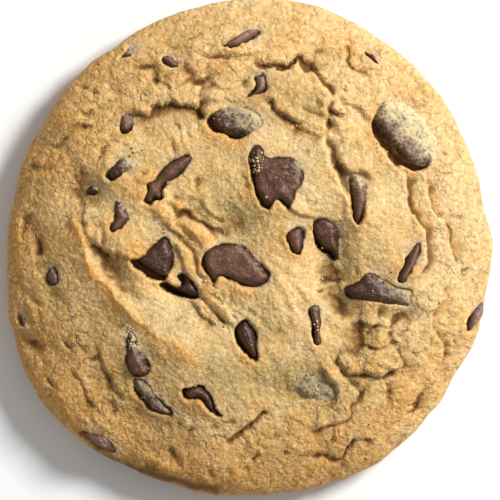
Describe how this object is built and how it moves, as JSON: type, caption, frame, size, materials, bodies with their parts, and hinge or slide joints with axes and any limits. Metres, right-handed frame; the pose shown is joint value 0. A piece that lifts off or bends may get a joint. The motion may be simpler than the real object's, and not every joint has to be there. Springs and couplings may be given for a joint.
{
  "type": "chocolate chip cookie",
  "caption": "Thick round soft-baked chocolate chip cookie with a folded, cracked top, an uneven outline, a flat base and chocolate chips sunk in the dough.",
  "frame": {"origin": "on the surface the cookie rests on, under the middle of its outline's bounding box", "axes": "+Z up out of the cracked top, +X to the right and +Y up as the cookie is seen from above"},
  "size_m": [0.0887, 0.0907, 0.0162],
  "materials": {
    "dough": "matte baked crumb, golden brown, grainy and cracked",
    "chocolate": "satin dark chocolate, partly bloomed and filmed with dough"
  },
  "bodies": {
    "root": {"dough": "dough", "chip_01": "chocolate", "chip_02": "chocolate", "chip_03": "chocolate", "chip_04": "chocolate", "chip_05": "chocolate", "chip_06": "chocolate", "chip_07": "chocolate", "chip_08": "chocolate", "chip_09": "chocolate", "chip_10": "chocolate", "chip_11": "chocolate", "chip_12": "chocolate", "chip_13": "chocolate", "chip_14": "chocolate", "chip_15": "chocolate", "chip_16": "chocolate", "chip_17": "chocolate", "chip_18": "chocolate", "chip_19": "chocolate", "chip_20": "chocolate", "chip_21": "chocolate", "chip_22": "chocolate", "chip_23": "chocolate", "chip_24": "chocolate", "chip_25": "chocolate", "chip_26": "chocolate", "chip_27": "chocolate", "chip_28": "chocolate", "chip_29": "chocolate", "chip_30": "chocolate", "chip_31": "chocolate"}
  },
  "joints": []
}
